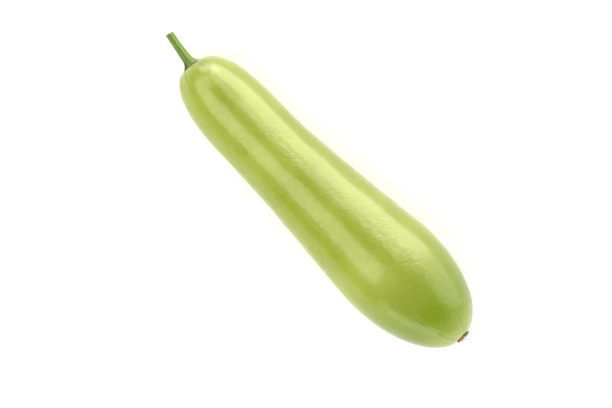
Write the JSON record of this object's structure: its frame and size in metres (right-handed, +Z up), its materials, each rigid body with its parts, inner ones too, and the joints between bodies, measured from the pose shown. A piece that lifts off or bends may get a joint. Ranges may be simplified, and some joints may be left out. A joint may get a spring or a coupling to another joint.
{
  "type": "bottle gourd",
  "caption": "Long pale-green bottle gourd lying on its side, with a slender neck, a fuller blossom end, a cut ridged stem and the dry remnant of its flower.",
  "frame": {"origin": "middle of the underside of the whole object's box, on the surface it lies on", "axes": "+X along the fruit from its stem end to its blossom end, +Z up, +Y completing a right-handed frame"},
  "size_m": [0.3508, 0.087, 0.0869],
  "materials": {
    "gourd_skin": "smooth waxy living skin, pale yellow-green, satin sheen, faint lengthwise veins",
    "stem_green": "ridged fibrous green stalk, matte, fresh cut at its end",
    "dry_cork": "dry corky tan and brown, matte"
  },
  "bodies": {
    "root": {"fruit": "gourd_skin", "stem": "stem_green", "flower_remnant": "dry_cork"}
  },
  "joints": []
}
